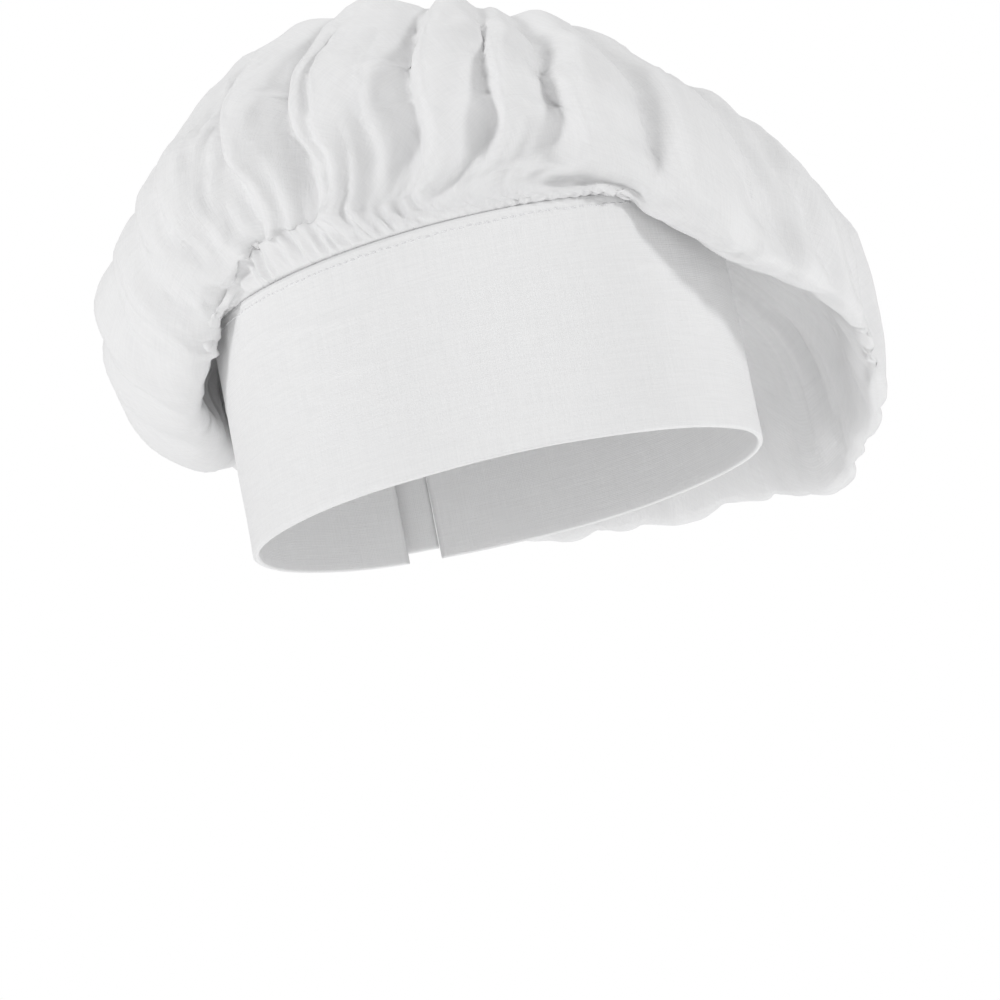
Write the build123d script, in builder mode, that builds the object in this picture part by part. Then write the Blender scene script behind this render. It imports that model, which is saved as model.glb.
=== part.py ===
"""Adjustable cotton chef's hat: a gathered round crown on an oval folded band.

Frame: millimetres. The origin is the centre of the head opening, on the plane of the band's
lower edge. +Z runs up the band, the forehead is at -Y, the closure is at +Y and the wearer's
left is at +X. The crown is soft and has flopped over to the wearer's left and back.
"""

from build123d import *
from math import cos, degrees, radians, sin
import os

# ---- driving dimensions ------------------------------------------------------------------

HEAD_HALF_WIDTH = 82.0      # band's outer face, centre to side (X)
HEAD_HALF_DEPTH = 105.0     # band's outer face, centre to front (Y)
BAND_HEIGHT = 77.0

CLOTH = 0.5                 # one layer of band cotton, with its turnings
INTERFACING = 0.6
LAYER_GAP = 0.05            # air between the layers of one sewn piece
BODY_GAP = 0.3              # air between pieces that move apart
THREAD = 0.5

CROWN_WALL = 1.5            # gathered crown cloth, with its small folds
FLOP_HEADING = 40.0         # way in which the crown has flopped, from +X towards +Y
CROWN_LIFT = 0.3            # crown's gathered edge above the band

CLOSURE_START = 75.0        # oval angle of the strap's seam, on the wearer's left of the back
CLOSURE_GAP = 12.0          # open slit between the two band ends
STRAP_LENGTH = 52.0
STRAP_LOW = 4.0
STRAP_HEIGHT = 32.0
STRAP_STEP = 14.0           # length over which the strap rises clear of the tapes
STRAP_SPAN = 5.0            # spacing of the points that its curve runs through
TAPE_WIDTH = 22.0
TAPE_LENGTH = 32.0
HOOK_TAPE = 1.1
LOOP_TAPE = 1.3
STITCH_INSET = 3.0          # stitch row in from the edge that it holds

OVERLOCK_HEIGHT = 7.0
OVERLOCK_THICKNESS = 1.6
BINDING_HEIGHT = 8.0
BINDING_THICKNESS = 0.8
BAR_TACK_HEIGHT = 9.0
BAR_TACK_WIDTH = 2.0

LABEL_WIDTH = 26.0
LABEL_DROP = 34.0
LABEL_THICKNESS = 0.4
LABEL_START = 118.0         # oval angle of its near edge, at the back on the wearer's right

SHOULDER_RISE = 2.5         # the gathers stand up and out of the seam before they fall
SHOULDER_OUT = 7.0

# Each ring of the crown: centre X, Y, Z, radius along the flop, radius across it, and how far
# the ring tips down towards the flop, in degrees. Then the way in which the cloth's inner face
# lies from its outer face: upwards, and in towards the ring's centre. They run from the seam
# out, over the rim and up to the top.
CROWN_RINGS = [
    (10.0, 6.5, 71.0, 116.0, 108.0, 8.0, 0.9, -0.4),
    (17.0, 11.0, 57.0, 130.0, 120.0, 14.0, 0.8, -0.6),
    (20.0, 14.0, 49.5, 139.0, 127.0, 18.5, 1.0, 0.3),
    (17.0, 15.0, 60.0, 142.0, 131.0, 18.5, 0.0, 1.0),
    (15.0, 14.0, 77.0, 138.0, 126.0, 17.5, -0.2, 1.0),
    (15.0, 11.0, 96.0, 126.0, 114.0, 14.5, -0.5, 0.9),
    (14.0, 8.0, 113.0, 107.0, 95.0, 13.5, -0.8, 0.7),
    (13.0, 5.0, 128.0, 84.0, 74.0, 14.5, -0.9, 0.5),
    (10.0, 3.0, 139.5, 57.0, 50.0, 12.5, -1.0, 0.3),
    (7.0, 1.5, 146.0, 30.0, 25.0, 10.5, -1.0, 0.2),
]
RING_POINTS = 16

# ---- derived dimensions ------------------------------------------------------------------

BAND_THICKNESS = 2 * CLOTH + INTERFACING + 2 * LAYER_GAP
CROWN_SEAM = BAND_HEIGHT + CROWN_LIFT
STRAP_HIGH = STRAP_LOW + STRAP_HEIGHT
TAPE_LOW = STRAP_LOW + (STRAP_HEIGHT - TAPE_WIDTH) / 2
TAPE_HIGH = TAPE_LOW + TAPE_WIDTH
LOOP_FACE = LAYER_GAP + LOOP_TAPE
HOOK_FACE = LOOP_FACE + BODY_GAP
STRAP_FACE = HOOK_FACE + HOOK_TAPE + LAYER_GAP
STRAP_SEAM_FACE = LAYER_GAP + BODY_GAP


def oval_degrees(length):
    """Oval angle that a length takes up at the back of the band."""
    return degrees(length / HEAD_HALF_WIDTH)


GAP_END = CLOSURE_START + oval_degrees(CLOSURE_GAP)
STRAP_TIP = CLOSURE_START + oval_degrees(STRAP_LENGTH)
TAPE_END = STRAP_TIP - oval_degrees(STITCH_INSET)
TAPE_START = TAPE_END - oval_degrees(TAPE_LENGTH)
BAND_ARC = 360.0 - oval_degrees(CLOSURE_GAP)

os.makedirs("parts", exist_ok=True)


def finish(piece, name):
    """Labels a finished piece and writes its STEP file."""
    piece.part.label = name
    export_step(piece.part, f"parts/{name}.step")


def oval_strip(start, arc, inside, outside, low, high):
    """A strip bent round the head oval.

    start and arc are oval angles in degrees, inside and outside are distances out from the
    band's outer face, and low and high are heights.
    """
    with BuildPart() as strip:
        with BuildSketch(Plane.XY.offset(low)):
            with BuildLine():
                inner = EllipticalCenterArc(
                    (0, 0),
                    HEAD_HALF_WIDTH + inside,
                    HEAD_HALF_DEPTH + inside,
                    start_angle=start,
                    arc_size=arc,
                )
                outer = EllipticalCenterArc(
                    (0, 0),
                    HEAD_HALF_WIDTH + outside,
                    HEAD_HALF_DEPTH + outside,
                    start_angle=start,
                    arc_size=arc,
                )
                Line(inner @ 0, outer @ 0)
                Line(inner @ 1, outer @ 1)
            make_face()
        extrude(amount=high - low)
    return strip


def stitched_outline(start, arc, inside, low, high):
    """A line of thread along the four edges of a patch on the band."""
    outside = inside + THREAD
    thread_arc = oval_degrees(THREAD)
    top = oval_strip(start, arc, inside, outside, high - THREAD, high)
    bottom = oval_strip(start, arc, inside, outside, low, low + THREAD)
    first_side = oval_strip(start, thread_arc, inside, outside, low, high)
    last_side = oval_strip(start + arc - thread_arc, thread_arc, inside, outside, low, high)
    with BuildPart() as outline:
        add(top.part)
        add(bottom.part)
        add(first_side.part)
        add(last_side.part)
    return outline


def strap_layer(inside, outside, near, far, low, high):
    """A layer of the closure strap, which steps out from the band end over the tapes.

    inside and outside are distances out from the strap's own inner face, near and far are
    distances along the strap from its seam, and low and high are heights.
    """

    def edge_point(length, out):
        rise = max(0.0, min(length / STRAP_STEP, 1.0))
        smooth_rise = rise * rise * (3 - 2 * rise)
        offset = STRAP_SEAM_FACE + (STRAP_FACE - STRAP_SEAM_FACE) * smooth_rise + out
        angle = radians(CLOSURE_START + oval_degrees(length))
        return ((HEAD_HALF_WIDTH + offset) * cos(angle), (HEAD_HALF_DEPTH + offset) * sin(angle))

    spans = max(2, round((far - near) / STRAP_SPAN))
    lengths = [near + (far - near) * step / spans for step in range(spans + 1)]
    with BuildPart() as layer:
        with BuildSketch(Plane.XY.offset(low)):
            with BuildLine():
                inner = Spline(*[edge_point(length, inside) for length in lengths])
                outer = Spline(*[edge_point(length, outside) for length in lengths])
                Line(inner @ 0, outer @ 0)
                Line(inner @ 1, outer @ 1)
            make_face()
        extrude(amount=high - low)
    return layer


def oval_points(out, turns):
    """Points round the head oval, a distance out from the band's outer face."""
    half_width = HEAD_HALF_WIDTH + out
    half_depth = HEAD_HALF_DEPTH + out
    return [(half_width * cos(turn), half_depth * sin(turn)) for turn in turns]


def crown_skin(shrink):
    """The closed volume of the crown, drawn in by shrink on every side but the seam's."""
    flop = radians(FLOP_HEADING)
    turns = [radians(360.0 * step / RING_POINTS) for step in range(RING_POINTS)]
    band_turns = [turn + flop for turn in turns]
    with BuildPart() as skin:
        with BuildSketch(Plane.XY.offset(CROWN_SEAM)):
            with BuildLine():
                Spline(*oval_points(-shrink, band_turns), periodic=True)
            make_face()
        with BuildSketch(Plane.XY.offset(CROWN_SEAM + SHOULDER_RISE + shrink)):
            with BuildLine():
                Spline(*oval_points(SHOULDER_OUT - shrink / 2, band_turns), periodic=True)
            make_face()
        for centre_x, centre_y, centre_z, along, across, tip, lift, draw in CROWN_RINGS:
            slope = radians(tip)
            downhill = (cos(flop) * cos(slope), sin(flop) * cos(slope), -sin(slope))
            level = (-sin(flop), cos(flop), 0)
            ring_plane = Plane(
                origin=(centre_x, centre_y, centre_z + lift * shrink),
                x_dir=downhill,
                z_dir=Vector(downhill).cross(Vector(level)),
            )
            half_along = along - draw * shrink
            half_across = across - draw * shrink
            rim = [(half_along * cos(turn), half_across * sin(turn)) for turn in turns]
            with BuildSketch(ring_plane):
                with BuildLine():
                    Spline(*rim, periodic=True)
                make_face()
        loft(ruled=True)
    return skin


# ---- band --------------------------------------------------------------------------------

# The band is one strip folded along the hat's lower edge, so its section is a deep U that
# holds the interfacing and is open at the top, where the crown is sewn in.
band_outer = oval_strip(GAP_END, BAND_ARC, -BAND_THICKNESS, 0.0, 0.0, BAND_HEIGHT)
band_pocket = oval_strip(
    GAP_END - 1.0, BAND_ARC + 2.0, -BAND_THICKNESS + CLOTH, -CLOTH, CLOTH, BAND_HEIGHT + 1.0
)
with BuildPart() as band_cloth:
    add(band_outer.part)
    add(band_pocket.part, mode=Mode.SUBTRACT)
finish(band_cloth, "band_cloth")

band_interfacing = oval_strip(
    GAP_END + oval_degrees(STITCH_INSET),
    BAND_ARC - 2 * oval_degrees(STITCH_INSET),
    -BAND_THICKNESS + CLOTH + LAYER_GAP,
    -CLOTH - LAYER_GAP,
    CLOTH + LAYER_GAP,
    BAND_HEIGHT - LAYER_GAP,
)
finish(band_interfacing, "band_interfacing")

# ---- crown -------------------------------------------------------------------------------


def seam_cap(skin):
    """The flat face that closes a crown skin where the band goes."""
    return skin.faces().filter_by(GeomType.PLANE).sort_by(Axis.Z)[0]


def all_but(skin, cap):
    """Every face of a crown skin except its seam cap."""
    return [face for face in skin.faces() if not face.is_same(cap)]


# The crown is a thin wall, open at the seam: an outer and an inner skin that a flat rim joins.
crown_outside = crown_skin(0.0)
crown_inside = crown_skin(CROWN_WALL)
outer_cap = seam_cap(crown_outside)
inner_cap = seam_cap(crown_inside)
seam_rim = Face(outer_cap.outer_wire(), [inner_cap.outer_wire()])
crown_faces = all_but(crown_outside, outer_cap) + all_but(crown_inside, inner_cap) + [seam_rim]
crown_wall = Solid(Shell(crown_faces))
with BuildPart() as crown_cloth:
    add(crown_wall)
finish(crown_cloth, "crown_cloth")

# A row of top-stitching runs round the top of the band, through the crown's allowance.
crown_seam_stitch = oval_strip(
    GAP_END,
    BAND_ARC,
    LAYER_GAP,
    LAYER_GAP + THREAD,
    BAND_HEIGHT - STITCH_INSET - THREAD,
    BAND_HEIGHT - STITCH_INSET,
)
finish(crown_seam_stitch, "crown_seam_stitch")

# Inside, the raw edges of crown and band are bound together by overlock thread.
OVERLOCK_FACE = -BAND_THICKNESS - LAYER_GAP
OVERLOCK_LOW = BAND_HEIGHT - OVERLOCK_HEIGHT
crown_seam_overlock = oval_strip(
    GAP_END, BAND_ARC, OVERLOCK_FACE - OVERLOCK_THICKNESS, OVERLOCK_FACE, OVERLOCK_LOW, BAND_HEIGHT
)
finish(crown_seam_overlock, "crown_seam_overlock")

# The thread that drew the crown up stays in the allowance, just clear of the overlocking.
GATHERING_FACE = OVERLOCK_FACE - OVERLOCK_THICKNESS - LAYER_GAP
gathering_thread = oval_strip(
    GAP_END,
    BAND_ARC,
    GATHERING_FACE - THREAD,
    GATHERING_FACE,
    OVERLOCK_LOW + STITCH_INSET,
    OVERLOCK_LOW + STITCH_INSET + THREAD,
)
finish(gathering_thread, "gathering_thread")

# Over the closure slit the crown's edge is free, and a narrow binding covers it.
BINDING_TOP = BAND_HEIGHT - LAYER_GAP
binding_inset = oval_degrees(LAYER_GAP)
crown_back_binding = oval_strip(
    CLOSURE_START + binding_inset,
    oval_degrees(CLOSURE_GAP) - 2 * binding_inset,
    -BAND_THICKNESS,
    -BAND_THICKNESS + BINDING_THICKNESS,
    BINDING_TOP - BINDING_HEIGHT,
    BINDING_TOP,
)
finish(crown_back_binding, "crown_back_binding")

# A bar tack holds each end of the slit, on the band's outer face.
tack_arc = oval_degrees(BAR_TACK_WIDTH)
tack_high = BAND_HEIGHT - STITCH_INSET - THREAD - LAYER_GAP
tack_low = tack_high - BAR_TACK_HEIGHT
bar_tack_left = oval_strip(
    CLOSURE_START - 2 * tack_arc, tack_arc, LAYER_GAP, LAYER_GAP + THREAD, tack_low, tack_high
)
finish(bar_tack_left, "bar_tack_left")
bar_tack_right = oval_strip(
    GAP_END + tack_arc, tack_arc, LAYER_GAP, LAYER_GAP + THREAD, tack_low, tack_high
)
finish(bar_tack_right, "bar_tack_right")

# ---- closure -----------------------------------------------------------------------------

# The strap is doubled cloth round its own interfacing, open at the end that is sewn down.
strap_outer = strap_layer(0.0, BAND_THICKNESS, 0.0, STRAP_LENGTH, STRAP_LOW, STRAP_HIGH)
strap_pocket = strap_layer(
    CLOTH,
    BAND_THICKNESS - CLOTH,
    -1.0,
    STRAP_LENGTH - CLOTH,
    STRAP_LOW + CLOTH,
    STRAP_HIGH - CLOTH,
)
with BuildPart() as strap_cloth:
    add(strap_outer.part)
    add(strap_pocket.part, mode=Mode.SUBTRACT)
finish(strap_cloth, "strap_cloth")

strap_inset = CLOTH + 2 * LAYER_GAP
strap_interfacing = strap_layer(
    strap_inset,
    BAND_THICKNESS - strap_inset,
    STITCH_INSET,
    STRAP_LENGTH - strap_inset,
    STRAP_LOW + strap_inset,
    STRAP_HIGH - strap_inset,
)
finish(strap_interfacing, "strap_interfacing")

# Two edge rows run along the strap's outer face, and one row crosses it at the seam.
STRAP_STITCH_FACE = BAND_THICKNESS + LAYER_GAP
upper_row = strap_layer(
    STRAP_STITCH_FACE,
    STRAP_STITCH_FACE + THREAD,
    2 * STITCH_INSET,
    STRAP_LENGTH - STITCH_INSET,
    STRAP_HIGH - STITCH_INSET,
    STRAP_HIGH - STITCH_INSET + THREAD,
)
lower_row = strap_layer(
    STRAP_STITCH_FACE,
    STRAP_STITCH_FACE + THREAD,
    2 * STITCH_INSET,
    STRAP_LENGTH - STITCH_INSET,
    STRAP_LOW + STITCH_INSET,
    STRAP_LOW + STITCH_INSET + THREAD,
)
tip_row = strap_layer(
    STRAP_STITCH_FACE,
    STRAP_STITCH_FACE + THREAD,
    STRAP_LENGTH - STITCH_INSET,
    STRAP_LENGTH - STITCH_INSET + THREAD,
    STRAP_LOW + STITCH_INSET,
    STRAP_HIGH - STITCH_INSET + THREAD,
)
with BuildPart() as strap_edge_stitch:
    add(upper_row.part)
    add(lower_row.part)
    add(tip_row.part)
finish(strap_edge_stitch, "strap_edge_stitch")

strap_seam_stitch = strap_layer(
    STRAP_STITCH_FACE,
    STRAP_STITCH_FACE + THREAD,
    STITCH_INSET - THREAD,
    STITCH_INSET,
    STRAP_LOW + STITCH_INSET,
    STRAP_HIGH - STITCH_INSET + THREAD,
)
finish(strap_seam_stitch, "strap_seam_stitch")

# The loop tape is sewn to the band end that lies under the strap, and the hook tape to the
# strap's inner face. Closed, the two faces lie together.
tape_arc = TAPE_END - TAPE_START
loop_tape = oval_strip(TAPE_START, tape_arc, LAYER_GAP, LOOP_FACE, TAPE_LOW, TAPE_HIGH)
finish(loop_tape, "loop_tape")
hook_tape = oval_strip(
    TAPE_START, tape_arc, HOOK_FACE, HOOK_FACE + HOOK_TAPE, TAPE_LOW, TAPE_HIGH
)
finish(hook_tape, "hook_tape")

# Each tape is held by a line of thread round its edge, just outside the tape.
edge_arc = oval_degrees(THREAD + LAYER_GAP)
loop_tape_stitch = stitched_outline(
    TAPE_START - edge_arc,
    tape_arc + 2 * edge_arc,
    LAYER_GAP,
    TAPE_LOW - THREAD - LAYER_GAP,
    TAPE_HIGH + THREAD + LAYER_GAP,
)
finish(loop_tape_stitch, "loop_tape_stitch")
hook_tape_stitch = stitched_outline(
    TAPE_START - edge_arc,
    tape_arc + 2 * edge_arc,
    HOOK_FACE + HOOK_TAPE - THREAD,
    TAPE_LOW - THREAD - LAYER_GAP,
    TAPE_HIGH + THREAD + LAYER_GAP,
)
finish(hook_tape_stitch, "hook_tape_stitch")

# ---- care label --------------------------------------------------------------------------

# A blank woven label hangs inside the back of the band from the overlocked allowance.
LABEL_TOP = OVERLOCK_LOW - LAYER_GAP
care_label = oval_strip(
    LABEL_START,
    oval_degrees(LABEL_WIDTH),
    OVERLOCK_FACE - LABEL_THICKNESS,
    OVERLOCK_FACE,
    LABEL_TOP - LABEL_DROP,
    LABEL_TOP,
)
finish(care_label, "care_label")
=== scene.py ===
"""A soft white chef's hat: thin cotton gathered on to a plain folded band, with a strap closure.

Units are metres in the hat's own frame: the origin is the centre of the head opening, +Z runs up
the band, the forehead is at -Y and the wearer's left is at +X.
"""
import math

import bmesh
import bpy
import numpy as np
from mathutils import Matrix, Vector, noise


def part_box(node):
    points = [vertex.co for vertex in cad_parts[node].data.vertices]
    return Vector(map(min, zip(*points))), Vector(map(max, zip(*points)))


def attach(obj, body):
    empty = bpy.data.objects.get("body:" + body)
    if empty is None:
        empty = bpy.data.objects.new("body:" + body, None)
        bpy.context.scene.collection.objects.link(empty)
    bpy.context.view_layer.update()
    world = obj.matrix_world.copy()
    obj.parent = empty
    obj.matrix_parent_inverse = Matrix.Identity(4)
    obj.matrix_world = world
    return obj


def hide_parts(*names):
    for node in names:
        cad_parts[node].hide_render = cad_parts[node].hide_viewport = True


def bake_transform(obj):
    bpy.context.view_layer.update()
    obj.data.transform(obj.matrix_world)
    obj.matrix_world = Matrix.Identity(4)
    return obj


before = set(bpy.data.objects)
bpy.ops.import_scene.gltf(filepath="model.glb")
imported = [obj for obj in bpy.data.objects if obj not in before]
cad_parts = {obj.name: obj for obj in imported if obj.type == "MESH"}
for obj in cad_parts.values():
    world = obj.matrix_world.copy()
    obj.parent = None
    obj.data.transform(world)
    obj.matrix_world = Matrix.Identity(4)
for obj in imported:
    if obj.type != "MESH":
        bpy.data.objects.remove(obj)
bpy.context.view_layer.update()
bpy.ops.object.select_all(action="DESELECT")

# ---- camera --------------------------------------------------------------------------------
# A long lens from the wearer's right front, a little below the band, as a hat worn tipped back
# on a head is seen. The picture leans with the head, so the camera rolls.

camera_heading = math.radians(-26.5)
camera_height = math.radians(-8.6)
camera_roll = math.radians(11.2)
camera_distance = 1.4

towards_camera = Vector((
    math.sin(camera_heading) * math.cos(camera_height),
    -math.cos(camera_heading) * math.cos(camera_height),
    math.sin(camera_height),
))
level_right = Vector((math.cos(camera_heading), math.sin(camera_heading), 0))
level_up = towards_camera.cross(level_right)
picture_right = math.cos(camera_roll) * level_right - math.sin(camera_roll) * level_up
picture_up = math.sin(camera_roll) * level_right + math.cos(camera_roll) * level_up
bpy.ops.object.camera_add(location=(0, 0, 0))
camera = bpy.context.active_object
camera.name = "camera"
camera_place = Matrix((picture_right, picture_up, towards_camera)).transposed().to_4x4()
camera_place.translation = towards_camera * camera_distance
camera.matrix_world = camera_place
camera.data.sensor_width = 36
camera.data.lens = 150.7
camera.data.shift_x = -0.0057
camera.data.shift_y = 0.0038
camera.data.clip_end = 50
bpy.context.scene.camera = camera

# ---- studio --------------------------------------------------------------------------------
# A white room: a pale floor far enough down to keep out of the hat's way, a white surround and
# three soft lights, from the wearer's left front, from the right and from above.

bpy.ops.mesh.primitive_plane_add(size=30, location=(0, 0, -0.75))
floor = bpy.context.active_object
floor.name = "floor"
floor_material = bpy.data.materials.new("pale floor")
floor_material.use_nodes = True
floor_shader = floor_material.node_tree.nodes["Principled BSDF"]
floor_shader.inputs["Base Color"].default_value = (0.9, 0.9, 0.9, 1)
floor_shader.inputs["Roughness"].default_value = 0.9
floor_shader.inputs["Emission Color"].default_value = (1, 1, 1, 1)
floor_shader.inputs["Emission Strength"].default_value = 0.40
floor.data.materials.append(floor_material)

surround = bpy.data.worlds.new("white surround")
bpy.context.scene.world = surround
surround.use_nodes = True
surround_tree = surround.node_tree
room_light = surround_tree.nodes["Background"]
room_light.inputs["Color"].default_value = (1, 1, 1, 1)
room_light.inputs["Strength"].default_value = 0.46
white_wall = surround_tree.nodes.new("ShaderNodeBackground")
white_wall.inputs["Color"].default_value = (1, 1, 1, 1)
sight = surround_tree.nodes.new("ShaderNodeLightPath")
seen_or_lit = surround_tree.nodes.new("ShaderNodeMixShader")
surround_tree.links.new(sight.outputs["Is Camera Ray"], seen_or_lit.inputs[0])
surround_tree.links.new(room_light.outputs[0], seen_or_lit.inputs[1])
surround_tree.links.new(white_wall.outputs[0], seen_or_lit.inputs[2])
surround_tree.links.new(
    seen_or_lit.outputs[0], surround_tree.nodes["World Output"].inputs["Surface"]
)
bpy.context.scene.view_settings.view_transform = "Standard"

for light_name, place, size, power in (
    ("key light", (0.9, -1.5, 0.7), 0.35, 10),
    ("side light", (-1.5, -0.2, 0.8), 0.35, 10),
    ("top light", (0.2, 0.5, 1.8), 0.6, 7),
):
    bpy.ops.object.light_add(type="AREA", location=place)
    light = bpy.context.active_object
    light.name = light_name
    light.data.size = size
    light.data.energy = power
    light.visible_camera = False
    aim = Vector((0, 0, 0.08)) - Vector(place)
    light.rotation_euler = aim.to_track_quat("-Z", "Y").to_euler()

# ---- band cloth ----------------------------------------------------------------------------
# The band is one strip of bleached plain-weave cotton, folded along the hat's lower edge and
# pressed flat over its interfacing. Its ends are turned in at the closure slit.

band_low, band_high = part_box("band_cloth")
half_width = (band_high[0] - band_low[0]) / 2
half_depth = (band_high[1] - band_low[1]) / 2
band_top = band_high[2]
band_thickness = 0.0017
cloth_thickness = 0.0005
slit_start = math.radians(75)
slit_length = 0.012
slit_end = slit_start + slit_length / half_width
band_start = slit_end
band_end = slit_start + 2 * math.pi
cotton_white = (0.805, 0.805, 0.808, 1)
cotton_shade = (0.765, 0.765, 0.769, 1)
weave_pitch = 0.0006
slub_depth = 0.00012
cut_unit = 0.5


def oval_place(turn, out, height):
    """Points on the head oval: turn in radians, distance out from the band's face, height."""
    turn, out, height = np.broadcast_arrays(turn, out, height)
    across = (half_width + out) * np.cos(turn)
    along = (half_depth + out) * np.sin(turn)
    return np.stack([across, along, height], axis=-1).astype(float)


def oval_turns(start, end, pitch):
    """Turns from start to end that are evenly spaced along the band, about pitch apart."""
    dense = np.linspace(start, end, 4000)
    places = oval_place(dense, 0, 0)
    length = np.concatenate([[0], np.cumsum(np.linalg.norm(np.diff(places, axis=0), axis=1))])
    count = max(2, int(round(length[-1] / pitch)) + 1)
    return np.interp(np.linspace(0, length[-1], count), length, dense)


def hump(value, middle, half_span):
    """One at the middle of a span, falling smoothly to nothing at its ends."""
    return 0.5 + 0.5 * np.cos(math.pi * np.clip(np.abs(value - middle) / half_span, 0, 1))


def turn_hump(turn, middle, half_span):
    """The same for turns round the hat, in degrees for middle and half_span."""
    away = (turn - math.radians(middle) + math.pi) % (2 * math.pi) - math.pi
    return hump(away, 0, math.radians(half_span))


def soft_noise(points, size, seed):
    """Smooth noise from -1 to 1 at each point, with lumps of about the given size."""
    shift = Vector((seed, 2.3 * seed, -1.7 * seed))
    return np.array([noise.noise(Vector(point) / size + shift) for point in points.tolist()])


def grid_faces(rows, columns, closed=False):
    """Faces of a grid of points that is stored row after row; closed joins each row's ends."""
    faces = []
    for row in range(rows - 1):
        for column in range(columns if closed else columns - 1):
            beside = (column + 1) % columns
            here, above = row * columns, (row + 1) * columns
            faces.append((here + column, here + beside, above + beside, above + column))
    return faces


def cloth_piece(name, points, faces, material, cut_places):
    """A smooth mesh object whose UV map is the place of each point on its flat cut."""
    mesh = bpy.data.meshes.new(name)
    mesh.from_pydata(points.tolist(), [], faces)
    corner_points = np.zeros(len(mesh.loops), int)
    mesh.loops.foreach_get("vertex_index", corner_points)
    cut_map = mesh.uv_layers.new(name="cut")
    cut_map.data.foreach_set("uv", cut_places[corner_points].astype(float).ravel())
    mesh.polygons.foreach_set("use_smooth", [True] * len(mesh.polygons))
    mesh.materials.append(material)
    piece = bpy.data.objects.new(name, mesh)
    bpy.context.scene.collection.objects.link(piece)
    return piece


def pick(piece):
    """Makes a piece the only selected object, and the active one."""
    bpy.ops.object.select_all(action="DESELECT")
    bpy.context.view_layer.objects.active = piece
    piece.select_set(True)


def give_thickness(piece, thickness, offset=0.0):
    """Gives a sheet its thickness, with Solidify applied."""
    wall = piece.modifiers.new("thickness", "SOLIDIFY")
    wall.thickness = thickness
    wall.offset = offset
    pick(piece)
    bpy.ops.object.modifier_apply(modifier="thickness")


def woven_cotton(name, thread_pitch, slub, crumple_size, crumple_depth):
    """Plain-weave cotton on the cut map, measured in cut units: threads, slubs and crumples."""
    material = bpy.data.materials.new(name)
    material.use_nodes = True
    nodes, links = material.node_tree.nodes, material.node_tree.links
    shader = nodes["Principled BSDF"]
    shader.inputs["Roughness"].default_value = 0.92
    shader.inputs["Specular IOR Level"].default_value = 0.2
    shader.inputs["Sheen Weight"].default_value = 0.12
    shader.inputs["Sheen Roughness"].default_value = 0.5
    cut = nodes.new("ShaderNodeTexCoord").outputs["UV"]

    def noise_on_cut(scale_x, scale_y, detail):
        stretch = nodes.new("ShaderNodeMapping")
        stretch.inputs["Scale"].default_value = (scale_x * cut_unit, scale_y * cut_unit, 1)
        links.new(cut, stretch.inputs["Vector"])
        texture = nodes.new("ShaderNodeTexNoise")
        texture.inputs["Scale"].default_value = 1.0
        texture.inputs["Detail"].default_value = detail
        links.new(stretch.outputs[0], texture.inputs["Vector"])
        return texture.outputs[0]

    def threads(direction):
        stretch = nodes.new("ShaderNodeMapping")
        wave_scale = 0.314 * cut_unit / thread_pitch
        stretch.inputs["Scale"].default_value = (wave_scale, wave_scale, 1)
        links.new(cut, stretch.inputs["Vector"])
        wave = nodes.new("ShaderNodeTexWave")
        wave.bands_direction = direction
        wave.inputs["Scale"].default_value = 1.0
        wave.inputs["Distortion"].default_value = 1.2
        wave.inputs["Detail"].default_value = 1.0
        links.new(stretch.outputs[0], wave.inputs["Vector"])
        return wave.outputs[1]

    def combine(operation, first, second):
        sum_node = nodes.new("ShaderNodeMath")
        sum_node.operation = operation
        links.new(first, sum_node.inputs[0])
        links.new(second, sum_node.inputs[1])
        return sum_node.outputs[0]

    warp_slubs = noise_on_cut(60, 1400, 2)
    weft_slubs = noise_on_cut(1400, 60, 2)
    slubs = combine("ADD", warp_slubs, weft_slubs)
    weave = combine("MULTIPLY", threads("X"), threads("Y"))
    crumples = noise_on_cut(1 / crumple_size, 1 / crumple_size, 5)

    tint = nodes.new("ShaderNodeValToRGB")
    tint.color_ramp.elements[0].position = 0.30
    tint.color_ramp.elements[0].color = cotton_shade
    tint.color_ramp.elements[1].position = 0.62
    tint.color_ramp.elements[1].color = cotton_white
    halved = nodes.new("ShaderNodeMath")
    halved.operation = "MULTIPLY"
    halved.inputs[1].default_value = 0.5
    links.new(slubs, halved.inputs[0])
    links.new(halved.outputs[0], tint.inputs["Fac"])
    links.new(tint.outputs["Color"], shader.inputs["Base Color"])

    normal = None
    for height, distance, strength in (
        (crumples, crumple_depth, 0.6),
        (slubs, slub, 0.6),
        (weave, 0.00008, 0.5),
    ):
        bump = nodes.new("ShaderNodeBump")
        bump.inputs["Distance"].default_value = distance
        bump.inputs["Strength"].default_value = strength
        links.new(height, bump.inputs["Height"])
        if normal is not None:
            links.new(normal, bump.inputs["Normal"])
        normal = bump.outputs["Normal"]
    links.new(normal, shader.inputs["Normal"])
    return material


band_material = woven_cotton("pressed band cotton", weave_pitch, slub_depth, 0.020, 0.0006)

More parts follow.
